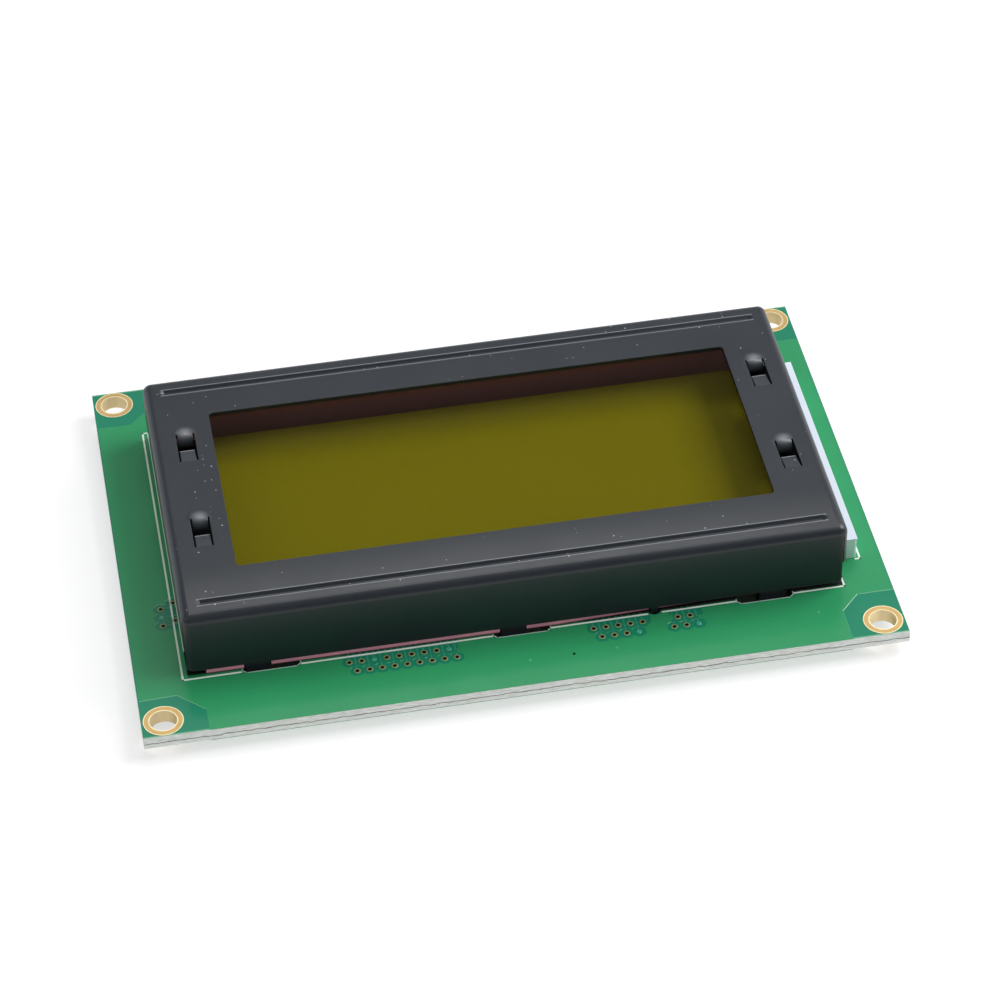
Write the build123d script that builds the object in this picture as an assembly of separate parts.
from build123d import *
import os

# A character lcd module: a printed circuit board with a black steel bezel over
# a sixteen by four liquid crystal cell and a side-lit backlight.
# Millimetres. X runs along the long edge, Y towards the header edge, Z out of
# the display. The origin is the centre of the four mounting holes on the
# board's back face.

# Circuit board, with its long edges scored and snapped
board_length = 87.0
board_width = 60.0
board_thickness = 1.6
score_depth = 0.5
score_inset = 0.14

# Mounting holes, plated, with a gold ring on each face
hole_edge_gap = 2.5
mounting_bore = 3.1
mounting_ring = 4.55
barrel_wall = 0.05
copper_height = 0.05

# Header holes along the rear edge
header_count = 16
header_pitch = 2.54
header_bore = 1.0
header_pad = 1.8
header_end_gap = 10.0
header_edge_gap = 2.5

# Bezel, one folded and pierced steel sheet, set in from the board's edges
bezel_end_margin = 5.5
bezel_side_margin = 9.1
bezel_height = 8.7
bezel_x = 0.35
bezel_y = -0.2
sheet = 0.5
bend_radius = 1.0
skirt_gap = 0.66
flap_depth = 5.2
seam_gap = 0.08
corner_margin = 0.01

# Window in the bezel's top face, and the bands of steel round it
window_end_band = 7.0
window_side_band = 7.45
window_x = 0.5
window_y = 0.0
window_corner = 0.5

# Stiffening beads pressed into the bezel's top face
bead_edge_gap = 2.5
bead_end_gap = 1.85
bead_width = 0.9
bead_depth = 0.28
bead_back_depth = 0.17
bead_point = 0.5
bead_taper = 52

# Lanced tongues that locate the ends of the liquid crystal cell
lance_window_gap = 2.25
lance_y = 0.4
lance_offset_y = 7.45
lance_length = 4.9
lance_width = 1.8
lance_slit = 0.2
rear_tongue_radius = 1.1
rear_tongue_leg = 0.5
front_tongue_length = 2.4
front_tongue_drop = 0.45

# Lugs that pass through slots in the board and fold flat behind it
lug_offsets = [-29.95, -0.8, 29.25]
slot_shifts = [1.5, 0.95, -0.85]
lug_width = 2.8
lug_foot = 2.2
lug_bend = 0.45
slot_play_x = 3.7
slot_play_y = 1.25
slot_corner = 0.7
peg_offset = 15.55
peg_width = 0.85
peg_depth = 0.7
peg_hole = 1.35

# Vias in rows: where each row starts, from the bezel's front left corner
via_bore = 0.5
via_pitch = 1.42
via_row_starts = [
    (18.2, -1.35), (18.9, -2.82), (46.2, -1.35), (46.9, -2.82), (55.95, -1.35), (55.25, -2.82),
    (-1.7, 11.5), (-1.7, 10.1), (-1.7, 8.7), (-0.25, 12.3), (-0.25, 9.35),
]
via_row_count = [9, 9, 5, 4, 2, 3, 1, 1, 1, 1, 1]

# Liquid crystal cell
cell_end_clearance = 0.45
ledge_clearance = 0.3
rear_glass_clearance = 1.1
glass_thickness = 1.1
polariser_thickness = 0.2
polariser_end_margin = 0.7
window_overlap = 1.85
rear_polariser_margin = 1.5
cell_gap = 0.05
seal_width = 0.9
plug_length = 4.0
plug_height = 1.2
plug_bulge = 0.5

# Conductive rubber strips between the board and the cell's contact ledges
zebra_width = 2.2
zebra_clearance = 0.1
zebra_end_gap = 1.75
zebra_toe_inset = 0.03
zebra_toe_clearance = 0.04
zebra_toe_root = 0.1
zebra_toe_straight = 40.0
zebra_toe_run = 60.0
zebra_toe_play = 0.15

# Side-lit backlight
backlight_clearance = 1.9
backlight_shift = -0.4
guide_inner_gap = 0.75
guide_outer_gap = 0.05
guide_height = 2.7
reflector_thickness = 0.15
diffuser_thickness = 0.15
led_housing_length = 2.2
led_housing_wall = 0.5
led_housing_corner = 0.25
cover_film_thickness = 0.12
cover_film_lap = 2.2
cover_film_overhang = 0.05
led_board_thickness = 0.6
led_count = 6
led_end_gap = 1.9
led_depth = 0.8
led_length = 3.0
led_height = 1.5
pin_diameter = 0.6
pin_play = 0.1
pin_end_gap = 3.4
pin_below = 1.2
solder_pad = 1.9
solder_neck = 0.8
solder_height = 0.95

# Parts on the back of the board; the small parts are set in from the bezel's rear and left edges
blob_height = 1.5
blobs = {
    "controller_blob": (-22.0, -6.0, 7.4),
    "driver_blob_left": (2.0, 8.5, 6.4),
    "driver_blob_right": (24.0, -6.0, 6.4),
}
chip_length = 2.0
chip_width = 1.25
chip_height = 0.5
chip_end = 0.4
chip_row_inset = 4.7
chip_resistor_insets = [3.65, 7.65, 11.65, 15.65, 19.65]
bias_resistor_inset = 1.65
bias_resistor_y = 4.0
chip_capacitors_x = [-11.0, 14.0]
power_resistor_inset_x = 7.5
power_resistor_inset_y = 1.4
power_resistor_length = 5.0
power_resistor_width = 2.5
power_resistor_height = 0.6
power_resistor_end = 0.7

# How far a cutting tool runs past the faces that it opens
overrun = 1.0

# Sizes and levels worked out from those above
hole_pitch_x = board_length - 2 * hole_edge_gap
hole_pitch_y = board_width - 2 * hole_edge_gap
bezel_length = board_length - 2 * bezel_end_margin
bezel_width = board_width - 2 * bezel_side_margin
window_length = bezel_length - 2 * window_end_band
window_width = bezel_width - 2 * window_side_band
inner_length = bezel_length - 2 * sheet
inner_width = bezel_width - 2 * sheet
board_top = board_thickness
bezel_top = board_top + bezel_height
bezel_ceiling = bezel_top - sheet
skirt_bottom = board_top + skirt_gap
flap_bottom = bezel_top - flap_depth
lance_offset_x = window_length / 2 + lance_window_gap + lance_width / 2
cell_length = 2 * (lance_offset_x - lance_width / 2 - cell_end_clearance)
polariser_length = cell_length - 2 * polariser_end_margin
front_glass_width = inner_width - 2 * ledge_clearance
rear_glass_width = inner_width - 2 * (zebra_clearance + zebra_width + rear_glass_clearance)
front_glass_top = bezel_ceiling - polariser_thickness
front_glass_bottom = front_glass_top - glass_thickness
rear_glass_top = front_glass_bottom - cell_gap
rear_glass_bottom = rear_glass_top - glass_thickness
backlight_width = inner_width - 2 * (zebra_clearance + zebra_width + backlight_clearance)
guide_start_x = bezel_x - inner_length / 2 + guide_inner_gap
guide_end_x = bezel_x + bezel_length / 2 + guide_outer_gap
guide_bottom = board_top + reflector_thickness
guide_top = guide_bottom + guide_height
backlight_y = bezel_y + backlight_shift
backlight_back = backlight_y + backlight_width / 2
backlight_front = backlight_y - backlight_width / 2
chip_size = (chip_length, chip_width, chip_height)
power_resistor_size = (power_resistor_length, power_resistor_width, power_resistor_height)
chip_row_y = bezel_y + bezel_width / 2 - chip_row_inset
bezel_left = bezel_x - bezel_length / 2
chip_resistors_at = [(bezel_left + inset, chip_row_y) for inset in chip_resistor_insets]
chip_resistors_at.append((bezel_left + bias_resistor_inset, bias_resistor_y))
chip_capacitors_at = [(x, chip_row_y) for x in chip_capacitors_x]


def box_between(x_low, x_high, y_low, y_high, z_low, z_high):
    """A box from its two corners."""
    size = Box(x_high - x_low, y_high - y_low, z_high - z_low)
    centre = ((x_low + x_high) / 2, (y_low + y_high) / 2, (z_low + z_high) / 2)
    return Pos(*centre) * size


def plate(centre_x, centre_y, length, width, z_low, z_high):
    """A flat rectangular plate about a centre."""
    return Pos(centre_x, centre_y, (z_low + z_high) / 2) * Box(length, width, z_high - z_low)


def post(x, y, diameter, z_low, z_high):
    """A round post along Z."""
    return Pos(x, y, (z_low + z_high) / 2) * Cylinder(diameter / 2, z_high - z_low)


def drill(x, y, diameter):
    """A drill that runs through the board."""
    return post(x, y, diameter, -overrun, board_top + overrun)


def mounting_points():
    """Centres of the mounting holes, by corner name."""
    half_x, half_y = hole_pitch_x / 2, hole_pitch_y / 2
    return {
        "front_left": (-half_x, -half_y), "front_right": (half_x, -half_y),
        "rear_left": (-half_x, half_y), "rear_right": (half_x, half_y),
    }


def header_points():
    """Centres of the header holes."""
    first_x = header_end_gap - board_length / 2
    y = board_width / 2 - header_edge_gap
    return [(first_x + i * header_pitch, y) for i in range(header_count)]


def via_points():
    """Centres of all the vias."""
    rows = zip(via_row_starts, via_row_count)
    front_y = bezel_y - bezel_width / 2
    return [(bezel_left + x + i * via_pitch, front_y + y) for (x, y), count in rows for i in range(count)]


def led_pin_points():
    """Centres of the backlight's two pins."""
    x = guide_end_x + led_housing_length - led_housing_wall - led_board_thickness / 2
    return [(x, backlight_back - pin_end_gap), (x, backlight_front + pin_end_gap)]


def power_resistor_at():
    """Centre of the backlight's series resistor, beside the anode pin."""
    x, y = led_pin_points()[0]
    return x - power_resistor_inset_x, y - power_resistor_inset_y


def skirt_middle(side):
    """Y of the middle of the sheet in the front or rear skirt."""
    return bezel_y + side * (bezel_width - sheet) / 2


def board_outline():
    """The bare laminate, with the scored and snapped long edges."""
    half = board_width / 2
    low, high = score_depth, board_thickness - score_depth
    section = Polyline(
        (-half + score_inset, 0), (half - score_inset, 0), (half, low), (half, high),
        (half - score_inset, board_thickness), (-half + score_inset, board_thickness),
        (-half, high), (-half, low), close=True,
    )
    return extrude(Plane.YZ * make_face(section), board_length / 2, both=True)


def lug_slot():
    """A milled slot that leaves a lug room to be pushed through."""
    outline = RectangleRounded(lug_width + slot_play_x, sheet + slot_play_y, slot_corner)
    return extrude(outline, board_top + 2 * overrun)


def circuit_board():
    """The laminate with its drilled and milled holes."""
    cuts = [drill(x, y, mounting_bore + 2 * barrel_wall) for x, y in mounting_points().values()]
    cuts += [drill(x, y, header_bore + 2 * barrel_wall) for x, y in header_points()]
    cuts += [drill(x, y, via_bore) for x, y in via_points()]
    cuts += [drill(x, y, pin_diameter + pin_play) for x, y in led_pin_points()]
    for side in (-1, 1):
        for offset, shift in zip(lug_offsets, slot_shifts):
            cuts.append(Pos(bezel_x + offset + shift, skirt_middle(side), -overrun) * lug_slot())
        cuts.append(drill(bezel_x + peg_offset, skirt_middle(side), peg_hole))
    return board_outline() - cuts


def plated_hole(x, y, bore, pad):
    """A plated barrel with a ring on each face, cut off where the board's face ends."""
    barrel = post(x, y, bore + 2 * barrel_wall, 0, board_top)
    rings = [post(x, y, pad, board_top, board_top + copper_height), post(x, y, pad, -copper_height, 0)]
    face = plate(0, 0, board_length, board_width - 2 * score_inset, -overrun, board_top + overrun)
    return ((barrel + rings) & face) - drill(x, y, bore)


def rounded_block(length, width, height, radius):
    """A block with its upright edges and its top edges rounded."""
    block = extrude(RectangleRounded(length, width, radius + corner_margin), height)
    return fillet(block.faces().sort_by(Axis.Z)[-1].edges(), radius)


def bezel_shell():
    """The folded tray: its skirts reach past the left flap and stop short of the right one."""
    depth = bezel_top - skirt_bottom
    outer = rounded_block(bezel_length, bezel_width, depth, bend_radius)
    inner = rounded_block(inner_length, inner_width, depth - sheet, bend_radius - sheet)
    shell = Pos(bezel_x, bezel_y, skirt_bottom) * (outer - inner)
    for side, cut_width in ((-1, inner_width), (1, 2 * bezel_width)):
        end_x = bezel_x + side * bezel_length / 2
        shell -= plate(end_x, bezel_y, 2 * (sheet + seam_gap), cut_width, 0, flap_bottom)
    left_x = bezel_left + sheet / 2
    right_x = bezel_x + (inner_length - seam_gap) / 2
    for edge in (-1, 1):
        left_y = bezel_y + edge * (inner_width - seam_gap) / 2
        shell -= plate(left_x, left_y, 3 * sheet, seam_gap, 0, bezel_top - bend_radius)
        shell -= plate(right_x, skirt_middle(edge), seam_gap, 3 * sheet, 0, bezel_top - bend_radius)
    return shell


def bead(depth):
    """A long pointed V, hanging from its top face at Z zero."""
    half, half_width = bezel_length / 2 - bead_end_gap, bead_width / 2
    shoulder = half - bead_point
    outline = Polyline(
        (-half, 0), (-shoulder, half_width), (shoulder, half_width),
        (half, 0), (shoulder, -half_width), (-shoulder, -half_width), close=True,
    )
    return extrude(make_face(outline), depth, dir=(0, 0, -1), taper=bead_taper)


def lance_cut():
    """The pierced opening that frees both tongues."""
    return Pos(0, 0, bezel_top) * Box(lance_width + 2 * lance_slit, lance_length, 4 * sheet)


def rear_tongue():
    """The tongue that curls down from the opening's rear edge."""
    centre = (lance_length / 2, bezel_top - rear_tongue_radius)
    outer = CenterArc(centre, rear_tongue_radius, 90, 90)
    inner = CenterArc(centre, rear_tongue_radius - sheet, 90, 90)
    curl = make_face([outer, inner, Line(outer @ 0, inner @ 0), Line(outer @ 1, inner @ 1)])
    leg = extrude(Line(outer @ 1, inner @ 1), rear_tongue_leg, dir=(0, -1, 0))
    return extrude(Plane.YZ * (curl + leg), lance_width / 2, both=True)


def front_tongue():
    """The short tongue that slopes down from the opening's front edge."""
    root, tip = -lance_length / 2, -lance_length / 2 + front_tongue_length
    section = Polyline(
        (root, bezel_top), (tip, bezel_top - front_tongue_drop),
        (tip, bezel_top - front_tongue_drop - sheet), (root, bezel_ceiling), close=True,
    )
    return extrude(Plane.YZ * make_face(section), lance_width / 2, both=True)


def lug(side):
    """A lug that drops from a skirt and folds inwards behind the board."""
    outer_y = bezel_y + side * bezel_width / 2
    inner_y = outer_y - side * sheet
    tip_y = inner_y - side * lug_foot
    section = make_face(Polyline(
        (outer_y, skirt_bottom + sheet), (outer_y, -sheet), (tip_y, -sheet),
        (tip_y, 0), (inner_y, 0), (inner_y, skirt_bottom + sheet), close=True,
    ))
    heel = section.vertices().sort_by_distance((outer_y, -sheet))[0]
    return extrude(Plane.YZ * fillet(heel, lug_bend), lug_width / 2, both=True)


def lcd_bezel():
    """The whole steel bezel, one folded piece."""
    shell = bezel_shell()
    window = extrude(RectangleRounded(window_length, window_width, window_corner), 2 * overrun)
    shell -= Pos(window_x, window_y, bezel_top - overrun) * window
    for side in (-1, 1):
        bead_y = bezel_y + side * (bezel_width / 2 - bead_edge_gap)
        shell += Pos(bezel_x, bead_y, bezel_ceiling) * bead(bead_back_depth)
        shell -= Pos(bezel_x, bead_y, bezel_top) * bead(bead_depth)
        for offset in lug_offsets:
            shell += Pos(bezel_x + offset, 0, 0) * lug(side)
        peg_x, peg_tip = bezel_x + peg_offset, board_top - peg_depth
        shell += plate(peg_x, skirt_middle(side), peg_width, sheet, peg_tip, skirt_bottom + sheet)
        for end in (-1, 1):
            place = Pos(window_x + end * lance_offset_x, lance_y + side * lance_offset_y, 0)
            shell -= place * lance_cut()
            shell += place * rear_tongue()
            shell += place * front_tongue()
    return shell


def front_polariser():
    """The tinted film on the viewing side of the cell."""
    width = window_width + 2 * window_overlap
    return plate(window_x, window_y, polariser_length, width, front_glass_top, bezel_ceiling)


def front_glass():
    """The wider glass, whose two long ledges carry the contacts."""
    return plate(window_x, bezel_y, cell_length, front_glass_width, front_glass_bottom, front_glass_top)


def rear_glass():
    """The narrower glass on the backlight side."""
    return plate(window_x, bezel_y, cell_length, rear_glass_width, rear_glass_bottom, rear_glass_top)


def rear_polariser():
    """The film on the backlight side of the cell."""
    width = rear_glass_width - 2 * rear_polariser_margin
    low = rear_glass_bottom - polariser_thickness
    return plate(window_x, bezel_y, polariser_length, width, low, rear_glass_bottom)


def liquid_crystal():
    """The liquid crystal that fills the cell inside its seal."""
    length, width = cell_length - 2 * seal_width, rear_glass_width - 2 * seal_width
    return plate(window_x, bezel_y, length, width, rear_glass_top, front_glass_bottom)


def cell_seal():
    """The printed adhesive ring between the two glasses."""
    ring = plate(window_x, bezel_y, cell_length, rear_glass_width, rear_glass_top, front_glass_bottom)
    return ring - liquid_crystal()


def fill_port_plug():
    """The bead of resin that closes the cell's filling port."""
    end_x = window_x - cell_length / 2
    middle = (rear_glass_top + front_glass_bottom) / 2
    resin = Pos(end_x, bezel_y, middle) * Cylinder(plug_height / 2, plug_length, rotation=(90, 0, 0))
    y_low, y_high = bezel_y - plug_length, bezel_y + plug_length
    return resin & box_between(end_x - plug_bulge, end_x, y_low, y_high, 0, bezel_top)


def zebra_strip(side):
    """A rubber strip under a contact ledge, its foot squeezed out below the skirt at its left end."""
    length = inner_length - 2 * zebra_end_gap
    x_low = bezel_x - length / 2
    y = bezel_y + side * (inner_width / 2 - zebra_clearance - zebra_width / 2)
    face_y = y + side * zebra_width / 2
    root_y = face_y - side * zebra_toe_root
    toe_depth = sheet + zebra_clearance - zebra_toe_inset
    tip_y = face_y + side * toe_depth
    toe_top = skirt_bottom - zebra_toe_clearance
    outline = Polyline(
        (x_low, root_y), (x_low + zebra_toe_run, root_y),
        (x_low + zebra_toe_straight, tip_y), (x_low, tip_y), close=True,
    )
    toe = Pos(0, 0, board_top) * extrude(make_face(outline), toe_top - board_top, dir=(0, 0, 1))
    for offset, width in [(offset, lug_width) for offset in lug_offsets] + [(peg_offset, peg_width)]:
        slot = width + 2 * zebra_toe_play
        toe -= plate(bezel_x + offset, (face_y + tip_y) / 2, slot, toe_depth, board_top, toe_top)
    return plate(bezel_x, y, length, zebra_width, board_top, front_glass_bottom) + toe


def guide_layer(x_high, z_low, z_high):
    """A layer of the backlight that starts at the light guide's left end."""
    return box_between(guide_start_x, x_high, backlight_front, backlight_back, z_low, z_high)


def led_cavity():
    """Bounds of the trough in the lamp housing, open towards the light guide."""
    x_high = guide_end_x + led_housing_length - led_housing_wall
    y_low, y_high = backlight_front + led_housing_wall, backlight_back - led_housing_wall
    return guide_end_x, x_high, y_low, y_high, board_top + led_housing_wall, guide_top - led_housing_wall


def led_housing():
    """The milky moulding that holds the lamps at the right-hand end."""
    x_high = guide_end_x + led_housing_length
    block = box_between(guide_end_x, x_high, backlight_front, backlight_back, board_top, guide_top)
    block = fillet(block.edges().filter_by(Axis.Z).group_by(Axis.X)[-1], led_housing_corner)
    return block - box_between(*led_cavity()) - [drill(x, y, pin_diameter) for x, y in led_pin_points()]


def led_strip_board():
    """The narrow upright board that carries the lamps."""
    _, x_high, y_low, y_high, z_low, z_high = led_cavity()
    return box_between(x_high - led_board_thickness, x_high, y_low, y_high, z_low, z_high)


def led_chips():
    """The lamps in a row, facing the end of the light guide."""
    _, x_high, y_low, y_high, z_low, z_high = led_cavity()
    x, z = x_high - led_board_thickness - led_depth / 2, (z_low + z_high) / 2
    first_y, last_y = y_low + led_end_gap + led_length / 2, y_high - led_end_gap - led_length / 2
    pitch = (last_y - first_y) / (led_count - 1)
    lamp = Box(led_depth, led_length, led_height)
    return [Pos(x, first_y + i * pitch, z) * lamp for i in range(led_count)]


def led_cover_film():
    """The white film over the lamp housing, lapping onto the light guide."""
    x_high = guide_end_x + led_housing_length + cover_film_overhang
    y_low, y_high = backlight_front - cover_film_overhang, backlight_back + cover_film_overhang
    z_high = guide_top + cover_film_thickness
    return box_between(guide_end_x - cover_film_lap, x_high, y_low, y_high, guide_top, z_high)


def led_pin(index):
    """One of the backlight's pins, from its lamp board through the board."""
    x, y = led_pin_points()[index]
    return post(x, y, pin_diameter, -pin_below, board_top + led_housing_wall)


def solder_joint(x, y):
    """The cone of solder that holds one of the backlight's pins."""
    cone = Cone(solder_neck / 2, solder_pad / 2, solder_height)
    return Pos(x, y, -solder_height / 2) * cone - drill(x, y, pin_diameter)


def blob(x, y, radius):
    """A low dome of black resin over a bare chip."""
    skin = TangentArc((0, -blob_height), (radius, 0), tangent=(1, 0))
    section = make_face([skin, Line((radius, 0), (0, 0)), Line((0, 0), (0, -blob_height))])
    return Pos(x, y, 0) * revolve(Plane.XZ * section, Axis.Z)


def chip_body(x, y, size, end):
    """The body of a surface-mounted part, between its end caps."""
    length, width, height = size
    return plate(x, y, length - 2 * end, width, -height, 0)


def chip_ends(x, y, size, end):
    """The two soldered end caps of a surface-mounted part."""
    length, width, height = size
    reach = (length - end) / 2
    return [plate(x + side * reach, y, end, width, -height, 0) for side in (-1, 1)]


def write_node(name, shape):
    """Write one named sub-part, a solid or a group of solids."""
    pieces = shape if isinstance(shape, list) else [shape]
    solids = [solid for piece in pieces for solid in piece.solids()]
    whole = solids[0] if len(solids) == 1 else Compound(solids)
    export_step(whole, os.path.join("parts", name + ".step"))


def write_board():
    """Write the circuit board, its plated holes and the parts on its back."""
    write_node("circuit_board", circuit_board())
    for corner, (x, y) in mounting_points().items():
        write_node("mounting_ring_" + corner, plated_hole(x, y, mounting_bore, mounting_ring))
    write_node("header_pads", [plated_hole(x, y, header_bore, header_pad) for x, y in header_points()])
    for name, (x, y, radius) in blobs.items():
        write_node(name, blob(x, y, radius))
    write_node("chip_resistors", [chip_body(x, y, chip_size, chip_end) for x, y in chip_resistors_at])
    write_node("chip_capacitors", [chip_body(x, y, chip_size, chip_end) for x, y in chip_capacitors_at])
    write_node("power_resistor", chip_body(*power_resistor_at(), power_resistor_size, power_resistor_end))
    end_caps = chip_ends(*power_resistor_at(), power_resistor_size, power_resistor_end)
    for x, y in chip_resistors_at + chip_capacitors_at:
        end_caps += chip_ends(x, y, chip_size, chip_end)
    write_node("chip_end_caps", end_caps)


def write_cell():
    """Write the liquid crystal cell and its contact strips."""
    write_node("front_polariser", front_polariser())
    write_node("front_glass", front_glass())
    write_node("cell_seal", cell_seal())
    write_node("liquid_crystal", liquid_crystal())
    write_node("rear_glass", rear_glass())
    write_node("rear_polariser", rear_polariser())
    write_node("fill_port_plug", fill_port_plug())
    write_node("zebra_strip_front", zebra_strip(-1))
    write_node("zebra_strip_rear", zebra_strip(1))


def write_backlight():
    """Write the light guide, its films, the lamps and their pins."""
    write_node("reflector_film", guide_layer(guide_end_x, board_top, guide_bottom))
    write_node("light_guide", guide_layer(guide_end_x, guide_bottom, guide_top))
    diffuser_end = guide_end_x - cover_film_lap
    write_node("diffuser_film", guide_layer(diffuser_end, guide_top, guide_top + diffuser_thickness))
    write_node("led_housing", led_housing())
    write_node("led_cover_film", led_cover_film())
    write_node("led_strip_board", led_strip_board())
    write_node("led_chips", led_chips())
    write_node("anode_pin", led_pin(0))
    write_node("cathode_pin", led_pin(1))
    write_node("pin_solder_joints", [solder_joint(x, y) for x, y in led_pin_points()])


def main():
    """Write every sub-part."""
    os.makedirs("parts", exist_ok=True)
    write_board()
    write_node("lcd_bezel", lcd_bezel())
    write_cell()
    write_backlight()


main()
